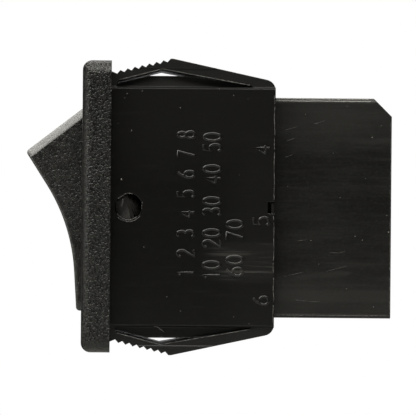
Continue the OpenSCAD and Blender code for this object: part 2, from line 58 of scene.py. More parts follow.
CAMERA_DISTANCE = 0.83          # from the middle plane of the switch
VIEW_WIDTH = 45.9 * MM          # what the picture spans at the near side plate
VIEW_CENTRE = (10.90 * MM, 0, -0.03 * MM)
CAMERA_ROLL = math.radians(0.47)
SENSOR_WIDTH = 36               # millimetres, as Blender's lens lengths are
LAMP_DISTANCE = 0.6             # from the middle of the view
WARM = (1, 0.985, 0.93)         # the lamps' colour
ROOM_DIFFUSE = 0.1              # the room's light on the switch
ROOM_MIRRORED = 0.015           # the room as reflections show it
WHITE_BEHIND = (0.93, 0.995)    # how near to straight back a reflection looks where it turns white
FLOOR_Z = -26 * MM              # low enough to keep the shadow out of the picture
FLOOR_R = 0.09
FLOOR_WHITE = (0.45 * FLOOR_R, 0.95 * FLOOR_R)  # where the floor fades to white


def add_camera():
    """Camera in front of the near side plate, at the photograph's angle and framing."""
    near_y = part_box("housing")[0].y
    place = Vector((0, -CAMERA_DISTANCE, 0))
    data = bpy.data.cameras.new("camera")
    data.sensor_width = SENSOR_WIDTH
    data.lens = SENSOR_WIDTH * (CAMERA_DISTANCE + near_y) / VIEW_WIDTH
    data.clip_start, data.clip_end = 0.01, 10
    camera = bpy.data.objects.new("camera", data)
    camera.location = place
    look = (Vector(VIEW_CENTRE) - place).to_track_quat("-Z", "Y")
    camera.rotation_mode = "QUATERNION"
    camera.rotation_quaternion = look @ Quaternion((0, 0, 1), CAMERA_ROLL)
    bpy.context.scene.collection.objects.link(camera)
    bpy.context.scene.camera = camera


def add_softbox(name, azimuth, elevation, size, power):
    """Area light that looks at the switch."""
    a, e = math.radians(azimuth), math.radians(elevation)
    aim = Vector(VIEW_CENTRE)
    back = Vector((math.sin(a) * math.cos(e), -math.cos(a) * math.cos(e), math.sin(e)))
    data = bpy.data.lights.new(name, "AREA")
    data.shape = "RECTANGLE"
    data.size, data.size_y = size
    data.energy = power
    data.color = WARM
    lamp = bpy.data.objects.new(name, data)
    lamp.location = aim + back * LAMP_DISTANCE
    lamp.rotation_euler = (-back).to_track_quat("-Z", "Y").to_euler()
    lamp.visible_camera = False
    bpy.context.scene.collection.objects.link(lamp)


def add_world():
    """White behind the switch, for the camera and in reflections, and a dim room all round."""
    world = bpy.data.worlds.new("studio")
    world.use_nodes = True
    tree = world.node_tree
    tree.nodes.clear()

    def math_node(operation, a, b):
        node = tree.nodes.new("ShaderNodeMath")
        node.operation = operation
        for socket, value in zip(node.inputs, (a, b)):
            if isinstance(value, float):
                socket.default_value = value
            else:
                tree.links.new(value, socket)
        return node.outputs[0]

    out = tree.nodes.new("ShaderNodeOutputWorld")
    background = tree.nodes.new("ShaderNodeBackground")
    path = tree.nodes.new("ShaderNodeLightPath")
    direction = tree.nodes.new("ShaderNodeTexCoord")
    split = tree.nodes.new("ShaderNodeSeparateXYZ")
    behind = tree.nodes.new("ShaderNodeMapRange")
    behind.interpolation_type = "SMOOTHSTEP"
    behind.inputs["From Min"].default_value, behind.inputs["From Max"].default_value = WHITE_BEHIND
    tree.links.new(direction.outputs["Generated"], split.inputs[0])
    tree.links.new(split.outputs[1], behind.inputs["Value"])
    mirrored = math_node("MAXIMUM", path.outputs["Is Glossy Ray"], path.outputs["Is Transmission Ray"])
    reflected = math_node("MULTIPLY", mirrored, behind.outputs[0])
    white = math_node("MAXIMUM", path.outputs["Is Camera Ray"], reflected)
    room = math_node("MULTIPLY_ADD", mirrored, ROOM_MIRRORED - ROOM_DIFFUSE)
    room.node.inputs[2].default_value = ROOM_DIFFUSE
    strength = math_node("MAXIMUM", white, room)
    background.inputs["Color"].default_value = (1, 1, 1, 1)
    tree.links.new(strength, background.inputs["Strength"])
    tree.links.new(background.outputs[0], out.inputs[0])
    bpy.context.scene.world = world


def add_floor():
    """Pale floor, duller to all but the camera, that turns white away from the switch."""
    bpy.ops.mesh.primitive_circle_add(
        vertices=96, radius=FLOOR_R, fill_type="NGON", location=(0, 0, FLOOR_Z),
    )
    floor = bpy.context.object
    floor.name = "floor"
    n = Nodes("floor")
    paper = n.noise(3, detail=3)
    diffuse = n.tree.nodes.new("ShaderNodeBsdfDiffuse")
    seen = n.tree.nodes.new("ShaderNodeLightPath").outputs["Is Camera Ray"]
    pale = n.mix_colour(paper, (0.86, 0.86, 0.85), (0.90, 0.90, 0.89))
    n.link(n.mix_colour(seen, (0.34, 0.34, 0.33), pale), diffuse.inputs["Color"])
    glow = n.tree.nodes.new("ShaderNodeEmission")
    reach = n.tree.nodes.new("ShaderNodeVectorMath")
    reach.operation = "LENGTH"
    n.link(n.place, reach.inputs[0])
    far = n.ramp(reach.outputs["Value"], *FLOOR_WHITE)
    mix = n.tree.nodes.new("ShaderNodeMixShader")
    n.link(n.math("MULTIPLY", seen, far), mix.inputs[0])
    n.link(diffuse.outputs[0], mix.inputs[1])
    n.link(glow.outputs[0], mix.inputs[2])
    n.link(mix.outputs[0], n.out.inputs["Surface"])
    floor.data.materials.append(n.material)


# ---- Materials ---------------------------------------------------------------

TRUNNION_Y = (9.0 * MM, 9.2 * MM)   # where the rocker's side ends and its trunnion goes on
GRAIN_MM = 0.27                 # lumps of the mould's grain on the bezel and the rocker
PLASTIC_BUMP = 0.045            # depth of the housing's and the rocker's bump, in millimetres
EDGE_MM = 0.12                  # how far a moulded edge is softened
PALE_DUST = (0.45, 0.45, 0.42)
MADE = {}                       # the scene's materials, by name


class Nodes:
    """A material's node tree, with one short call for each kind of node."""

    def __init__(self, name):
        self.material = bpy.data.materials.new(name)
        self.material.use_nodes = True
        self.tree = self.material.node_tree
        self.tree.nodes.clear()
        self.out = self.tree.nodes.new("ShaderNodeOutputMaterial")
        self.place = self.tree.nodes.new("ShaderNodeTexCoord").outputs["Object"]

    def link(self, source, socket):
        self.tree.links.new(source, socket)

    def math(self, operation, a, b=0.0, clamp=False):
        node = self.tree.nodes.new("ShaderNodeMath")
        node.operation = operation
        node.use_clamp = clamp
        for socket, value in zip(node.inputs, (a, b)):
            if isinstance(value, (int, float)):
                socket.default_value = value
            else:
                self.link(value, socket)
        return node.outputs[0]

    def stretched(self, x, y, z):
        node = self.tree.nodes.new("ShaderNodeMapping")
        node.inputs["Scale"].default_value = (x, y, z)
        self.link(self.place, node.inputs["Vector"])
        return node.outputs[0]

    def noise(self, size_mm, detail=2.0, rough=0.5, place=None):
        """Noise whose lumps are about size_mm across."""
        node = self.tree.nodes.new("ShaderNodeTexNoise")
        node.inputs["Scale"].default_value = 1 / (size_mm * MM)
        node.inputs["Detail"].default_value = detail
        node.inputs["Roughness"].default_value = rough
        self.link(place or self.place, node.inputs["Vector"])
        return node.outputs["Fac"]

    def cells(self, size_mm):
        node = self.tree.nodes.new("ShaderNodeTexVoronoi")
        node.inputs["Scale"].default_value = 1 / (size_mm * MM)
        self.link(self.place, node.inputs["Vector"])
        return node

    def ramp(self, value, low, high, to_low=0.0, to_high=1.0):
        """Smooth step from to_low, where value is low, to to_high, where it is high."""
        node = self.tree.nodes.new("ShaderNodeMapRange")
        node.interpolation_type = "SMOOTHSTEP"
        for name, number in (("From Min", low), ("From Max", high), ("To Min", to_low), ("To Max", to_high)):
            node.inputs[name].default_value = number
        self.link(value, node.inputs["Value"])
        return node.outputs[0]

    def mix_value(self, factor, a, b):
        node = self.tree.nodes.new("ShaderNodeMix")
        node.data_type = "FLOAT"
        for socket, value in zip((node.inputs[0], node.inputs[2], node.inputs[3]), (factor, a, b)):
            if isinstance(value, (int, float)):
                socket.default_value = value
            else:
                self.link(value, socket)
        return node.outputs[0]

    def mix_colour(self, factor, a, b):
        node = self.tree.nodes.new("ShaderNodeMix")
        node.data_type = "RGBA"
        for socket, value in zip((node.inputs[0], node.inputs[6], node.inputs[7]), (factor, a, b)):
            if isinstance(value, tuple):
                socket.default_value = (*value, 1)
            elif isinstance(value, (int, float)):
                socket.default_value = value
            else:
                self.link(value, socket)
        return node.outputs[2]

    def axis(self, index):
        """Place along X, Y or Z in metres, in the CAD's frame."""
        node = self.tree.nodes.new("ShaderNodeSeparateXYZ")
        self.link(self.place, node.inputs[0])
        return node.outputs[index]

    def surface(self, colour, roughness, height, depth_mm, edge_mm=EDGE_MM, metallic=0.0):
        """Principled surface with a height map and with all its edges softened by edge_mm."""
        bsdf = self.tree.nodes.new("ShaderNodeBsdfPrincipled")
        edge = self.tree.nodes.new("ShaderNodeBevel")
        edge.samples = 8
        edge.inputs["Radius"].default_value = edge_mm * MM
        bump = self.tree.nodes.new("ShaderNodeBump")
        self.link(edge.outputs[0], bump.inputs["Normal"])
        bump.inputs["Strength"].default_value = 1.0
        bump.inputs["Distance"].default_value = depth_mm * MM
        bsdf.inputs["Metallic"].default_value = metallic
        self.link(height, bump.inputs["Height"])
        self.link(bump.outputs[0], bsdf.inputs["Normal"])
        self.link(colour, bsdf.inputs["Base Color"])
        self.link(roughness, bsdf.inputs["Roughness"])
        self.link(bsdf.outputs[0], self.out.inputs["Surface"])
        return self.material


def dust(n, spacing_mm, radius_mm, share):
    """Mask of small bright specks: one in some of the cells of a coarse Voronoi pattern."""
    cells = n.cells(spacing_mm)
    radius = radius_mm / spacing_mm
    near = n.ramp(cells.outputs["Distance"], 0.6 * radius, radius, 1, 0)
    split = n.tree.nodes.new("ShaderNodeSeparateXYZ")
    n.link(cells.outputs["Color"], split.inputs[0])
    chosen = n.math("LESS_THAN", split.outputs[0], share)
    return n.math("MULTIPLY", near, chosen)


def grain(n, size_mm):
    """Height of a spark-eroded mould's grain: rounded lumps of two sizes with pits between them."""
    lumps = n.ramp(n.noise(size_mm, detail=1, rough=0.5), 0.32, 0.68)
    small = n.ramp(n.noise(size_mm * 0.5, detail=1, rough=0.5), 0.3, 0.7)
    return n.math("ADD", n.math("MULTIPLY", lumps, 0.65), n.math("MULTIPLY", small, 0.35))


def speckle(n):
    """Mask of fine uneven grain, drawn out a little along X."""
    return n.ramp(n.noise(0.2, detail=2, rough=0.6, place=n.stretched(0.5, 1, 1)), 0.45, 0.75)


def streaks(n, size_mm, low, high):
    """Thin marks along X, from a noise drawn out to many times its width."""
    drawn = n.noise(size_mm, detail=5, rough=0.65, place=n.stretched(0.04, 1, 1))
    return n.ramp(drawn, low, high)


def band(n, index, low_mm, high_mm, soft_mm):
    """Mask that is 1 between two places along an axis, with soft ends."""
    place = n.axis(index)
    rise = n.ramp(place, (low_mm - soft_mm) * MM, low_mm * MM)
    fall = n.ramp(place, high_mm * MM, (high_mm + soft_mm) * MM, 1, 0)
    return n.math("MULTIPLY", rise, fall)


def smudges(n):
    """Faint curved rub marks: rings of a bent wave, kept in some places only."""
    wave = n.tree.nodes.new("ShaderNodeTexWave")
    wave.wave_type = "RINGS"
    wave.inputs["Scale"].default_value = 90
    wave.inputs["Distortion"].default_value = 1.6
    wave.inputs["Detail"].default_value = 1
    n.link(n.place, wave.inputs["Vector"])
    thin = n.ramp(wave.outputs["Fac"], 0.94, 1.0)
    return n.math("MULTIPLY", thin, n.ramp(n.noise(4, detail=2), 0.5, 0.66))


def housing_material():
    """Grained bezel, smooth side plates with a rubbed patch near the rear, duller wings, and specks. Painted
    sheen on the plates' streaks and patch; painted light towards the plates' top and rear and in the recess
    under the upper wing.
    """
    n = Nodes("housing_plastic")
    on_bezel = n.ramp(n.axis(0), -0.05 * MM, 0.05 * MM, 1, 0)
    rough_grain = grain(n, GRAIN_MM)
    front_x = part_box("housing")[0].x
    grain_left = n.ramp(n.axis(0), front_x + 0.3 * MM, front_x + 0.65 * MM, 0.15, 1)
    lines = streaks(n, 0.35, 0.5, 0.72)
    # A rubbed patch near the rear: its streaked bump and roughness are its own, and its lighter colour
    # further down is a painted sheen.
    patch = n.math("MULTIPLY", band(n, 2, -7.6, -4.4, 1.0), band(n, 0, 13.0, 19, 3.5))
    rubbed_streaks_and_sheen = n.math("MULTIPLY", n.math("ADD", n.math("MULTIPLY", lines, 0.85), 0.15), patch)
    faint = n.math("MULTIPLY", lines, n.ramp(n.noise(6, detail=2), 0.4, 0.65, 0.15, 0.7))
    fine = n.noise(0.12, detail=3)
    flat = n.math("ADD", n.math("MULTIPLY", fine, 0.02), n.math("MULTIPLY", rubbed_streaks_and_sheen, 0.12))
    height = n.mix_value(on_bezel, flat, n.math("MULTIPLY", rough_grain, grain_left))
    shade = n.ramp(rough_grain, 0.35, 0.85)
    bezel = n.mix_colour(shade, (0.0035, 0.0034, 0.003), (0.017, 0.0166, 0.0153))
    # Painted light: the plates' colour turns lighter towards their top and towards the rear.
    painted_light_top_rear = n.math("MAXIMUM", n.ramp(n.axis(2), 1 * MM, 9 * MM), n.ramp(n.axis(0), 11 * MM, 16 * MM))
    body = n.mix_colour(painted_light_top_rear, (0.0040, 0.0039, 0.0036), (0.0068, 0.0066, 0.0061))
    # Painted sheen: faint lighter streaks over the plates.
    body = n.mix_colour(faint, body, (0.012, 0.0117, 0.0108))
    body = n.mix_colour(n.math("MULTIPLY", speckle(n), 0.35), body, (0.011, 0.0107, 0.0099))
    # Painted sheen: the rubbed patch's streaks lighter still.
    body = n.mix_colour(rubbed_streaks_and_sheen, body, (0.036, 0.0353, 0.0328))
    dark = n.mix_colour(on_bezel, body, bezel)
    # Painted light: the recess under the upper wing, shaded by the wing, is painted lighter.
    upper = n.ramp(n.axis(2), 12.8 * MM, 13.2 * MM)
    inside = n.ramp(n.math("ABSOLUTE", n.axis(1)), 10.3 * MM, 10.5 * MM, 1, 0)
    recess_painted_light = n.math("MULTIPLY", n.math("MULTIPLY", upper, inside), n.ramp(fine, 0.3, 0.6, 0.6, 1))
    dark = n.mix_colour(recess_painted_light, dark, (0.026, 0.0254, 0.0232))
    specks = n.math("MAXIMUM", dust(n, 3.1, 0.07, 0.2), dust(n, 1.7, 0.04, 0.12))
    colour = n.mix_colour(specks, dark, PALE_DUST)
    on_wing = n.ramp(n.math("ABSOLUTE", n.axis(2)), 12.9 * MM, 13.2 * MM)
    smooth = n.mix_value(on_wing, n.ramp(rubbed_streaks_and_sheen, 0, 1, 0.28, 0.36), 0.4)
    rough = n.mix_value(on_bezel, smooth, 0.3)
    return n.surface(colour, rough, height, PLASTIC_BUMP)


def rocker_material():
    """Grained paddle; its trunnions are smooth, with a painted lit side and a painted shaded side that meet
    on a leaning line.
    """
    n = Nodes("rocker_plastic")
    rough_grain = grain(n, GRAIN_MM)
    across = n.math("ABSOLUTE", n.axis(1))
    on_pin = n.ramp(across, TRUNNION_Y[0], TRUNNION_Y[1])
    shade = n.ramp(rough_grain, 0.35, 0.85)
    plain = n.mix_colour(shade, (0.0045, 0.0044, 0.004), (0.022, 0.0215, 0.0198))
    # Painted light and shade: the trunnion's end is lighter on one side of a leaning line and darker on the
    # other.
    lean = n.math("ADD", n.math("MULTIPLY", n.axis(0), 0.95), n.math("MULTIPLY", n.axis(2), 0.31))
    middle = 0.95 * PIVOT_X
    painted_lit_side = n.ramp(lean, middle - 0.2 * MM, middle + 0.1 * MM)
    pin_lit_and_shaded = n.mix_colour(painted_lit_side, (0.017, 0.0166, 0.0155), (0.02, 0.0192, 0.0175))
    plain = n.mix_colour(on_pin, plain, pin_lit_and_shaded)
    colour = n.mix_colour(dust(n, 3.7, 0.08, 0.15), plain, PALE_DUST)
    rough = n.mix_value(on_pin, n.ramp(rough_grain, 0.3, 0.9, 0.36, 0.3), 0.24)
    height = n.mix_value(on_pin, rough_grain, n.math("MULTIPLY", n.noise(0.5), 0.2))
    return n.surface(colour, rough, height, PLASTIC_BUMP)


def rocker_edge_material():
    """The flat cuts along the rocker's ends: the same plastic with finer grain, a little smoother, and
    painted lighter as part of their highlight.
    """
    n = Nodes("rocker_edge")
    fine = grain(n, 0.2)
    # Painted highlight: the cuts' colour is lighter than the rocker's own.
    colour = n.mix_colour(fine, (0.016, 0.0156, 0.0144), (0.034, 0.0332, 0.0306))
    return n.surface(colour, n.ramp(fine, 0.3, 0.9, 0.36, 0.28), fine, 0.02, edge_mm=0.8)


def base_material():
    """Shroud with fine lengthwise streaks, cloudy haze, lighter bands and curved rub marks."""
    n = Nodes("base_plastic")
    lines = streaks(n, 0.5, 0.45, 0.72)
    hair = n.ramp(n.noise(0.34, detail=4, rough=0.75, place=n.stretched(0.07, 1, 1)), 0.42, 0.72)
    cloud = n.noise(3.5, detail=4, rough=0.6, place=n.stretched(0.5, 1, 1))
    fine = n.noise(0.1, detail=3)
    blend = n.math("ADD", n.math("MULTIPLY", lines, 0.1), n.math("MULTIPLY", cloud, 0.9))
    ends = n.math("ABSOLUTE", n.axis(2))
    clouded, outer = n.ramp(blend, 0.3, 0.68, 0.15, 0.5), n.ramp(ends, 5 * MM, 10.5 * MM, 0, 0.5)
    haze = n.math("ADD", clouded, outer, clamp=True)
    plain = n.mix_colour(haze, (0.0050, 0.0049, 0.0045), (0.0165, 0.0161, 0.0148))
    plain = n.mix_colour(n.math("MULTIPLY", hair, 0.38), plain, (0.024, 0.0235, 0.0217))
    low = band(n, 2, -10.1, -9.3, 0.5)
    wide = n.ramp(n.noise(0.9, detail=1, place=n.stretched(0.03, 1, 1)), 0.62, 0.74)
    bands = n.math("MAXIMUM", n.math("MULTIPLY", wide, 0.3), n.math("MULTIPLY", low, 0.45))
    plain = n.mix_colour(bands, plain, (0.026, 0.0254, 0.0235))
    rubbed = n.mix_colour(n.math("MULTIPLY", smudges(n), 0.5), plain, (0.026, 0.0256, 0.024))
    rubbed = n.mix_colour(n.math("MULTIPLY", speckle(n), 0.3), rubbed, (0.03, 0.0294, 0.0272))
    specks = n.math("MAXIMUM", dust(n, 3.4, 0.07, 0.3), dust(n, 1.3, 0.04, 0.14))
    colour = n.mix_colour(specks, rubbed, (0.3, 0.295, 0.275))
    rough = n.ramp(haze, 0, 1, 0.28, 0.38)
    height = n.math("ADD", n.math("MULTIPLY", fine, 0.04), n.math("MULTIPLY", lines, 0.08))
    return n.surface(colour, rough, height, 0.06)


def metal_material(name, low, high, grain_mm, roughness, along=(1, 1, 1)):
    """Drawn or stamped metal: marks run along the axis whose scale is small, with slight stains."""
    n = Nodes(name)
    marks = n.noise(grain_mm, detail=4, rough=0.6, place=n.stretched(*along))
    stain = n.noise(1.8, detail=3)
    colour = n.mix_colour(n.ramp(n.math("ADD", marks, stain), 0.75, 1.3), low, high)
    rough = n.ramp(marks, 0.3, 0.7, roughness - 0.06, roughness + 0.08)
    return n.surface(colour, rough, marks, 0.006, edge_mm=0.05, metallic=1.0)


def acetal_material():
    """Natural acetal, cream and a little uneven."""
    n = Nodes("plunger_plastic")
    fine = n.noise(0.2, detail=3)
    colour = n.mix_colour(fine, (0.62, 0.58, 0.48), (0.76, 0.72, 0.62))
    return n.surface(colour, n.ramp(fine, 0.3, 0.7, 0.32, 0.42), fine, 0.008)


def worn_edge_and_highlight_material():
    """Thin or scratched plastic, worn pale in places; also the painted highlight lines on the wings' and
    bumps' edges and down the shroud's rim.
    """
    n = Nodes("worn_edge_and_highlight")
    spots = n.noise(0.35, detail=4, rough=0.7)
    colour = n.mix_colour(n.ramp(spots, 0.35, 0.7), (0.012, 0.0118, 0.011), (0.16, 0.157, 0.148))
    return n.surface(colour, n.ramp(spots, 0.3, 0.7, 0.45, 0.3), spots, 0.02, edge_mm=0.02)


def lint_and_highlight_material():
    """Pale dust and fibres, and the painted highlight lines along the shroud's long edges."""
    n = Nodes("lint_and_highlight")
    spots = n.noise(0.2, detail=3)
    colour = n.mix_colour(spots, (0.24, 0.23, 0.21), (0.46, 0.445, 0.41))
    return n.surface(colour, n.ramp(spots, 0.2, 0.8, 0.7, 0.9), spots, 0.01, edge_mm=0.01)


def dress_nodes():
    """Make the materials and give each CAD node the one that its record names."""
    MADE.update({
        "housing_plastic": housing_material(),
        "rocker_plastic": rocker_material(),
        "rocker_edge": rocker_edge_material(),
        "base_plastic": base_material(),
        "plunger_plastic": acetal_material(),
        "worn_edge_and_highlight": worn_edge_and_highlight_material(),
        "lint_and_highlight": lint_and_highlight_material(),
    })
    for metal in (
        ("terminal_brass", (0.42, 0.27, 0.09), (0.62, 0.44, 0.18), 0.25, 0.3, (0.15, 1, 1)),
        ("contact_copper", (0.46, 0.22, 0.10), (0.70, 0.39, 0.2), 0.25, 0.32, (1, 1, 0.15)),
        ("contact_silver", (0.58, 0.57, 0.53), (0.8, 0.79, 0.75), 0.15, 0.28),
        ("spring_steel", (0.32, 0.32, 0.31), (0.52, 0.52, 0.5), 0.1, 0.3),
    ):
        MADE[metal[0]] = metal_material(*metal)
    for part in frame["record"]["subparts"]:
        node = frame["nodes"][part["node"]]
        node.data.materials.clear()
        node.data.materials.append(MADE[part["material_slot"]])


# ---- Pieces that stand on the CAD nodes ---------------------------------------

# Lengths that are written with MM are in metres. The others in this part, the lists of places
# among them, are in millimetres.
FIGURE_RISE = 0.14 * MM         # half the depth of a stroke
FIGURE_SINK = 0.06 * MM         # how deep a stroke's middle lies in the plate
FIGURE_R = 0.19 * MM            # half the width of a stroke
FIGURE_BOX = 0.6                # width of a figure's box for a height of 1
FIGURE_PITCH = 0.82             # width of a figure with the gap after it, for a height of 1
PLATE_Y = 10.9 * MM             # outer face of the side plates
SHROUD_Y = 9.38 * MM            # outer face of the shroud's sides
SHROUD_TOP = 12.18              # half the shroud's height
SHROUD_ROUND = 0.5              # radius of its long edges
WING_Y = 10.6                   # outer faces of the wings and of the bumps under them
BUMP_Y = 9.7
# X and Z of the corners that the painted highlight lines follow, above the body; below it Z is negative
WING_EDGE = ((0.8, 14.0), (5.6, 15.25), (15.3, 13.52))
BUMP_EDGE = ((0.8, 13.65), (4.0, 14.45), (9.2, 14.45), (15.3, 13.52))
NOTCH_Z = (-0.8, 0.8)           # where the rear edge has its notch
FLASH_Z = (-13.0, 12.4)         # lower and upper end of the rear edges' flash
FLASH_STEPS = 170
FLASH_GAPS = 0.07               # share of those steps at which the flash breaks off
# Arcs of the trunnion holes' rims: radius, then start and end in degrees
RIM_ARCS = ((1.47, 72, 97), (1.44, 213, 310), (1.66, 226, 322), (1.5, 350, 368), (1.62, 14, 20))
RIM_STEPS = 16
BURR_STEPS = 8
BURR_R = 1.46 * MM              # how far the burr's ends lie from the hole's middle
BURR_ENDS = (2.5, 1.76)         # and in which directions, in radians
END_CUT_W = 0.86 * MM           # how wide the flat cut along each end of the rocker's sides is
END_CUT_NORMAL = (0.69, 0.72)   # the Y of such a cut's normal, which is at 45 degrees
SHARP = math.radians(28)        # edges of the rocker that turn by more than this stay sharp
LINE_STEP = 0.3                 # between the points of a painted highlight line
SCRATCH_STEPS = 9
FIBRE_Y = -10.93 * MM           # just off the near side plate
FIBRE_STEPS = 14
# Half the widths of the thin round pieces
FLASH_R = 0.045 * MM
RIM_R = 0.042 * MM
BURR_HALF = 0.065 * MM
SCRATCH_R = 0.016 * MM
FIBRE_R = 0.009 * MM
EDGE_HIGHLIGHT_R = 0.05 * MM
SHROUD_HIGHLIGHT_R = 0.03 * MM
SHROUD_RIM_HIGHLIGHT_R = 0.035 * MM
SPECK_RINGS, SPECK_SIDES = 3, 7
# Dust: X, Z and radius in millimetres
PLATE_SPECKS = (
    (1.17, 3.03, 0.075), (1.72, 12.5, 0.05), (3.38, 12.8, 0.04), (13.5, 12.4, 0.04), (15.1, 12.0, 0.03),
    (1.4, 12.0, 0.03), (7.8, -11.5, 0.03), (13.7, -12.1, 0.035), (15.4, -12.85, 0.035), (2.24, 8.44, 0.05),
    (0.75, 9.2, 0.035), (7.6, 11.0, 0.04), (6.3, -9.95, 0.035), (11.6, 8.2, 0.03), (14.2, 3.6, 0.03),
)
SHROUD_SPECKS = (
    (27.1, -3.1, 0.035), (27.9, -3.5, 0.045), (30.6, -0.75, 0.04), (30.8, -2.6, 0.05), (28.9, 7.9, 0.035),
    (29.9, 9.2, 0.035), (24.6, 6.1, 0.03), (22.2, -3.6, 0.04), (21.5, 10.4, 0.03), (26.2, -8.9, 0.03),
    (19.6, 2.4, 0.035), (25.4, 1.2, 0.03), (29.2, -10.9, 0.04), (23.1, -6.2, 0.03), (28.2, 3.3, 0.03),
)
# Scratches on the shroud: X and Z of each one's start and end, in millimetres
SCRATCHES = (
    (25.3, -4.95, 26.0, -4.75), (24.2, -4.9, 25.2, -4.95), (20.8, -3.62, 21.6, -3.55), (19.2, 8.6, 20.6, 9.0),
    (19.4, 7.4, 20.3, 7.7), (22.5, 9.3, 23.6, 9.7), (19.2, -7.6, 21.4, -7.1), (20.6, -10.2, 23.2, -10.4),
    (19.3, 5.6, 20.1, 5.9), (24.0, -7.0, 26.2, -6.4),
)


def bow(x, z, rx, rz, start, end, steps=14):
    """Points along an arc of an ellipse, in the figures' unit box."""
    angles = [math.radians(start + (end - start) * i / steps) for i in range(steps + 1)]
    return [(x + rx * math.cos(a), z + rz * math.sin(a)) for a in angles]


# Strokes of plain figures in a box 0.6 wide and 1 high
FIGURES = {
    "0": [bow(0.3, 0.5, 0.26, 0.5, 0, 360, 24)],
    "1": [[(0.12, 0.8), (0.34, 1), (0.34, 0)]],
    "2": [bow(0.29, 0.72, 0.25, 0.28, 165, -40) + [(0.04, 0), (0.57, 0)]],
    "3": [bow(0.27, 0.76, 0.23, 0.24, 150, -80) + bow(0.27, 0.27, 0.27, 0.27, 80, -150)],
    "4": [[(0.42, 0), (0.42, 1), (0.02, 0.3), (0.58, 0.3)]],
    "5": [[(0.52, 1), (0.12, 1), (0.08, 0.56)] + bow(0.28, 0.33, 0.27, 0.33, 120, -150)],
    "6": [bow(0.3, 0.3, 0.26, 0.3, 0, 360, 20), [(0.46, 1), (0.2, 0.76), (0.06, 0.45), (0.04, 0.3)]],
    "7": [[(0.04, 1), (0.56, 1), (0.22, 0)]],
    "8": [bow(0.3, 0.76, 0.21, 0.24, 0, 360, 18), bow(0.3, 0.26, 0.26, 0.26, 0, 360, 20)],
}


def baked(piece):
    """A piece's mesh with its modifiers applied."""
    return bpy.data.meshes.new_from_object(piece.evaluated_get(bpy.context.evaluated_depsgraph_get()))


def ridge(name, strokes, radius):
    """Mesh of round strokes through lists of points, each a Vector in metres."""
    data = bpy.data.curves.new(name, "CURVE")
    data.dimensions = "3D"
    data.bevel_depth = radius
    data.bevel_resolution = 2
    data.use_fill_caps = True
    for points in strokes:
        closed = (points[0] - points[-1]).length < 1e-6
        kept = points[:-1] if closed else points
        spline = data.splines.new("POLY")
        spline.points.add(len(kept) - 1)
        spline.use_cyclic_u = closed
        for target, point in zip(spline.points, kept):
            target.co = (*point, 1)
    maker = bpy.data.objects.new(name, data)
    bpy.context.scene.collection.objects.link(maker)
    mesh = baked(maker)
    bpy.data.objects.remove(maker)
    return mesh


def add_piece(name, mesh, material):
    """Put a mesh into the scene as a piece that rides on the housing."""
    piece = bpy.data.objects.new(name, mesh)
    bpy.context.scene.collection.objects.link(piece)
    mesh.materials.append(MADE[material])
    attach(piece, "body")


def add_number(name, text, side, x_top, cap_mm, z_middle, length_mm):
    """Raised figures on a side plate, read upwards. side is -1 for the camera's side, 1 for the other.

    length_mm is the row's length. It changes nothing where the text is one figure.
    """
    step = length_mm / (len(text) - 1 + FIGURE_BOX / FIGURE_PITCH)
    wide = min(cap_mm, 1.3 * step) if len(text) > 1 else 0.62 / FIGURE_BOX * cap_mm
    strokes = []
    for i, figure in enumerate(text):
        if figure == " ":
            continue
        left = z_middle + (i - (len(text) - 1) / 2) * step - FIGURE_BOX / 2 * wide
        for points in FIGURES[figure]:
            strokes.append([
                Vector(((x_top + (1 - up) * cap_mm) * MM, 0, (left + along * wide) * MM))
                for along, up in points
            ])
    mesh = ridge(name, strokes, FIGURE_R)
    squash = FIGURE_RISE / FIGURE_R
    for v in mesh.vertices:
        v.co.y = side * (PLATE_Y - FIGURE_SINK) + v.co.y * squash
    add_piece(name, mesh, "housing_plastic")


def add_numbers():
    """Plain numbers where the switch has its ratings, and at the terminals of both sides."""
    add_number("numbers_row_1", "1 2 3 4 5 6 7 8", -1, 7.4, 1.85, 0.35, 16.1)
    add_number("numbers_row_2", "10 20 30 40 50", -1, 10.25, 1.9, 0.1, 16.2)
    add_number("numbers_row_3", "60 70", -1, 12.85, 1.8, -4.5, 6.2)
    for side, first in ((-1, 4), (1, 1)):
        for i, z in enumerate((6.4, -1.5, -10.3)):
            add_number("terminal_mark_%d" % (first + i), str(first + i), side, 15.85, 1.7, z, 1.0)


def end_line(points):
    """Longest edge of the outline's hull that faces out of the panel and up, as its two ends."""
    def turn(a, b, c):
        return (b[0] - a[0]) * (c[1] - a[1]) - (b[1] - a[1]) * (c[0] - a[0])

    points = sorted(set((round(x, 7), round(z, 7)) for x, z in points))
    hull = []
    for run in (points, points[::-1]):
        chain = []
        for p in run:
            while len(chain) > 1 and turn(chain[-2], chain[-1], p) <= 0:
                chain.pop()
            chain.append(p)
        hull += chain[:-1]
    edges = [(math.dist(a, b), a, b) for a, b in zip(hull, hull[1:] + hull[:1])]
    # The hull runs anticlockwise, so its outward normal is (dz, -dx)
    facing = [e for e in edges if e[2][1] - e[1][1] < 0 and e[2][0] - e[1][0] < 0]
    return max(facing)[1:]


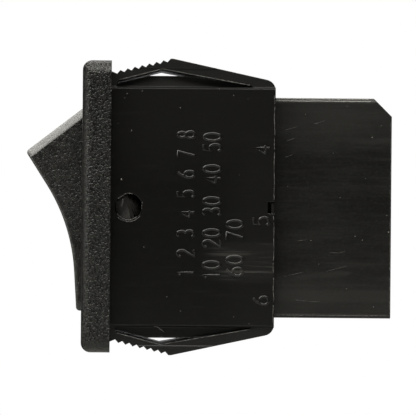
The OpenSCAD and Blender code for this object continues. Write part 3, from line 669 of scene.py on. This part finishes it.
def add_rocker_look():
    """The rocker with the flat cut that its sides have along both ends, within the CAD solid."""
    node = frame["nodes"]["rocker"]
    half = math.radians(ROCKER_JOINT["range_deg"][1] / 2)
    pivot = Vector((PIVOT_X, 0, 0))
    upright = Matrix.Translation(pivot) @ Matrix.Rotation(half, 4, "Y") @ Matrix.Translation(-pivot)
    mesh = node.data.copy()
    mesh.transform(node.matrix_world)
    own = [upright @ v.co for v in mesh.vertices]
    side_y = max(abs(p.y) for p in own if p.x < PIVOT_X - 4 * MM)
    (ax, az), (bx, bz) = end_line([(p.x, p.z) for p in own])
    along = Vector((ax - bx, 0, az - bz)).normalized()
    outward = Vector((-along.z, 0, along.x))
    if outward.z < 0:
        outward = -outward
    start = Vector((bx, 0, bz)) - along * 3 * MM
    end = Vector((ax, 0, az)) + along * 3 * MM
    base = bpy.data.objects.new("rocker_look", mesh)
    bpy.context.scene.collection.objects.link(base)
    weld = base.modifiers.new("weld", "WELD")
    weld.merge_threshold = 1e-7
    cutters = []
    extra = 0.4 * MM
    for up in (1, -1):
        for side in (1, -1):
            section = (
                (END_CUT_W + extra, side_y + extra),
                (-extra, side_y + extra),
                (-extra, side_y - END_CUT_W - extra),
            )
            points = []
            for place in (start, end):
                for inward, y in section:
                    p = place - outward * inward
                    p = Vector((p.x, side * y, p.z * up))
                    points.append(upright.inverted() @ p)
            faces = [(0, 1, 2), (5, 4, 3), (0, 3, 4, 1), (1, 4, 5, 2), (2, 5, 3, 0)]
            wedge = bpy.data.meshes.new("wedge")
            wedge.from_pydata(points, [], faces if side * up < 0 else [f[::-1] for f in faces])
            cutter = bpy.data.objects.new("wedge", wedge)
            bpy.context.scene.collection.objects.link(cutter)
            cut = base.modifiers.new("cut", "BOOLEAN")
            cut.operation, cut.solver, cut.object = "DIFFERENCE", "EXACT", cutter
            cutters.append(cutter)
    made = baked(base)
    base.modifiers.clear()
    for cutter in cutters:
        bpy.data.objects.remove(cutter)
    made.set_sharp_from_angle(angle=SHARP)
    base.data = made
    even = base.modifiers.new("even", "WEIGHTED_NORMAL")
    even.keep_sharp = True
    even.weight = 100
    made = baked(base)
    base.modifiers.clear()
    base.data = made
    made.materials.clear()
    made.materials.append(MADE["rocker_plastic"])
    made.materials.append(MADE["rocker_edge"])
    least_area = (END_CUT_W / 10) ** 2
    for face in made.polygons:
        on_cut = END_CUT_NORMAL[0] < abs(face.normal.y) < END_CUT_NORMAL[1]
        face.material_index = int(on_cut and face.area > least_area)
    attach(base, "rocker")
    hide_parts("rocker")


def add_flash(chance):
    """Broken thread of flash down the rear edges of the side plates."""
    rear_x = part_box("housing")[1].x
    low, high = FLASH_Z
    for side, name in ((-1, "edge_flash_near"), (1, "edge_flash_far")):
        strokes, points = [], []
        for i in range(FLASH_STEPS + 1):
            z = low + (high - low) * i / FLASH_STEPS
            if chance.random() < FLASH_GAPS or NOTCH_Z[0] < z < NOTCH_Z[1]:
                if len(points) > 2:
                    strokes.append(points)
                points = []
                continue
            x = rear_x - (0.075 + 0.035 * math.sin(1.7 * z) * math.sin(0.63 * z + side)) * MM
            x -= chance.uniform(0, 0.03) * MM
            points.append(Vector((x, side * (PLATE_Y + chance.uniform(-0.01, 0.02) * MM), z * MM)))
        strokes.append(points)
        add_piece(name, ridge(name, strokes, FLASH_R), "worn_edge_and_highlight")


def add_hole_rims(chance):
    """Thrown-up plastic round the trunnion holes: arcs that don't close, and a burr."""
    for side, name in ((-1, "hole_rim_near"), (1, "hole_rim_far")):
        y = side * (PLATE_Y + 0.01 * MM)
        strokes = []
        for radius, start, end in RIM_ARCS:
            points = []
            for i in range(RIM_STEPS + 1):
                a = math.radians(start + (end - start) * i / RIM_STEPS)
                r = (radius + chance.uniform(-0.02, 0.02)) * MM
                points.append(Vector((PIVOT_X + r * math.cos(a), y, r * math.sin(a))))
            strokes.append(points)
        add_piece(name, ridge(name, strokes, RIM_R), "worn_edge_and_highlight")
        # The burr that lies straight across the hole's upper front
        ends = [Vector((PIVOT_X + BURR_R * math.cos(a), y, BURR_R * math.sin(a))) for a in BURR_ENDS]
        burr = [
            ends[0].lerp(ends[1], i / BURR_STEPS) + Vector((0, 0, chance.uniform(-0.02, 0.02) * MM))
            for i in range(BURR_STEPS + 1)
        ]
        name = name.replace("rim", "burr")
        add_piece(name, ridge(name, [burr], BURR_HALF), "worn_edge_and_highlight")


def speck_mesh(chance, name, places, y):
    """Low closed lumps on a near side face, each of its own shape, sunk a little into it."""
    points, faces = [], []
    rings, sides = SPECK_RINGS, SPECK_SIDES
    for x, z, radius in places:
        start = len(points)
        turn = chance.uniform(0, 6)
        stretch = chance.uniform(1, 1.6)
        for ring in range(rings):
            lift = ring * math.pi / 2 / rings
            rise = 0.5 * radius * math.sin(lift) if ring else -0.01
            reach = radius * math.cos(lift)
            for i in range(sides):
                a = 2 * math.pi * i / sides
                r = reach * chance.uniform(0.75, 1.15)
                u, w = stretch * r * math.cos(a), r * math.sin(a)
                points.append(Vector((
                    (x + u * math.cos(turn) - w * math.sin(turn)) * MM,
                    -y - rise * MM,
                    (z + u * math.sin(turn) + w * math.cos(turn)) * MM,
                )))
        points.append(Vector((x * MM, -y - 0.5 * radius * MM, z * MM)))
        for ring in range(rings - 1):
            for i in range(sides):
                a, b = start + ring * sides + i, start + ring * sides + (i + 1) % sides
                faces.append((a, b, b + sides, a + sides))
        top = start + (rings - 1) * sides
        faces += [(top + i, top + (i + 1) % sides, len(points) - 1) for i in range(sides)]
        faces.append(tuple(range(start + sides - 1, start - 1, -1)))
    mesh = bpy.data.meshes.new(name)
    mesh.from_pydata(points, [], faces)
    shells = bmesh.new()
    shells.from_mesh(mesh)
    bmesh.ops.recalc_face_normals(shells, faces=shells.faces)
    shells.to_mesh(mesh)
    shells.free()
    return mesh


def add_specks(chance):
    """Dust, one fibre and a few raised scratches on the near side faces."""
    for name, places, y in (
        ("dust_specks_plate", PLATE_SPECKS, PLATE_Y), ("dust_specks_shroud", SHROUD_SPECKS, SHROUD_Y),
    ):
        add_piece(name, speck_mesh(chance, name, places, y), "lint_and_highlight")
    strokes = []
    for xa, za, xb, zb in SCRATCHES:
        strokes.append([
            Vector((
                (xa + (xb - xa) * i / SCRATCH_STEPS) * MM,
                -SHROUD_Y,
                (za + (zb - za) * i / SCRATCH_STEPS + chance.uniform(-0.02, 0.02)) * MM,
            ))
            for i in range(SCRATCH_STEPS + 1)
        ])
    add_piece("scratches", ridge("scratches", strokes, SCRATCH_R), "worn_edge_and_highlight")
    fibre = [
        Vector((
            (4.9 + 1.05 * t + 0.05 * math.sin(6 * t)) * MM,
            FIBRE_Y,
            (-13.2 - 0.15 * t - 0.42 * t * t) * MM,
        ))
        for t in (i / FIBRE_STEPS for i in range(FIBRE_STEPS + 1))
    ]
    add_piece("fibre", ridge("fibre", [fibre], FIBRE_R), "lint_and_highlight")


def add_edge_highlight_lines(chance):
    """Painted highlights: pale lines on the inner edges of the wings and on the bumps under them."""
    for side, place in ((-1, "near"), (1, "far")):
        strokes = []
        for up in (1, -1):
            for corners, y in ((WING_EDGE, WING_Y), (BUMP_EDGE, BUMP_Y)):
                points = []
                for (xa, za), (xb, zb) in zip(corners, corners[1:]):
                    steps = max(2, round(math.dist((xa, za), (xb, zb)) / LINE_STEP))
                    shares = [i / steps for i in range(steps)]
                    points += [(xa + (xb - xa) * t, za + (zb - za) * t) for t in shares]
                points.append(corners[-1])
                strokes.append([
                    Vector((x * MM, side * (y + chance.uniform(-0.012, 0)) * MM, up * z * MM))
                    for x, z in points
                ])
        name = "edge_highlight_lines_" + place
        add_piece(name, ridge(name, strokes, EDGE_HIGHLIGHT_R), "worn_edge_and_highlight")


def add_shroud_highlight_lines(chance):
    """Painted highlights: pale lines along the shroud's long edges and down its rim, on both sides."""
    for side, place in ((-1, "near"), (1, "far")):
        bright, faint = [], []
        # The list a line goes to, upper or lower edge, how far it lies from the edge, and its ends
        for strokes, up, down, start, end in (
            (bright, 1, 0.1, 18.4, 28.5), (bright, 1, 0.34, 18.4, 28.7), (faint, -1, 0.3, 18.4, 30.9),
        ):
            lean = math.asin(max(0.0, 1 - down / SHROUD_ROUND))
            y = SHROUD_Y - SHROUD_ROUND * (1 - math.cos(lean)) * MM
            steps = round((end - start) / LINE_STEP)
            strokes.append([
                Vector((
                    (start + (end - start) * i / steps) * MM,
                    side * (y + chance.uniform(-0.012, 0) * MM),
                    up * (SHROUD_TOP - down + chance.uniform(-0.02, 0.02)) * MM,
                ))
                for i in range(steps + 1)
            ])
        # Painted highlight down the rim, from the chamfer to the lower edge
        faint.append([
            Vector(((30.98 + chance.uniform(-0.02, 0.02)) * MM, side * SHROUD_Y, (9.6 - LINE_STEP * i) * MM))
            for i in range(72)
        ])
        for name, strokes, radius, material in (
            ("shroud_highlight_lines_" + place, bright, SHROUD_HIGHLIGHT_R, "lint_and_highlight"),
            ("shroud_rim_highlight_lines_" + place, faint, SHROUD_RIM_HIGHLIGHT_R, "worn_edge_and_highlight"),
        ):
            add_piece(name, ridge(name, strokes, radius), material)


# ---- The scene ------------------------------------------------------------------

add_camera()
add_world()
add_floor()
add_softbox("softbox_front", 0, 52, (0.6, 0.28), 3.3)
add_softbox("softbox_left", -95, 48, (0.9, 0.36), 8.0)
add_softbox("softbox_back", 165, 50, (0.5, 0.28), 1.2)
add_softbox("softbox_low_left", -80, -13, (0.5, 0.12), 0.8)
dress_nodes()
add_rocker_look()
add_numbers()
chance = random.Random(4)
add_flash(chance)
add_hole_rims(chance)
add_specks(chance)
add_edge_highlight_lines(chance)
add_shroud_highlight_lines(chance)

bpy.context.scene.view_settings.view_transform = "Standard"
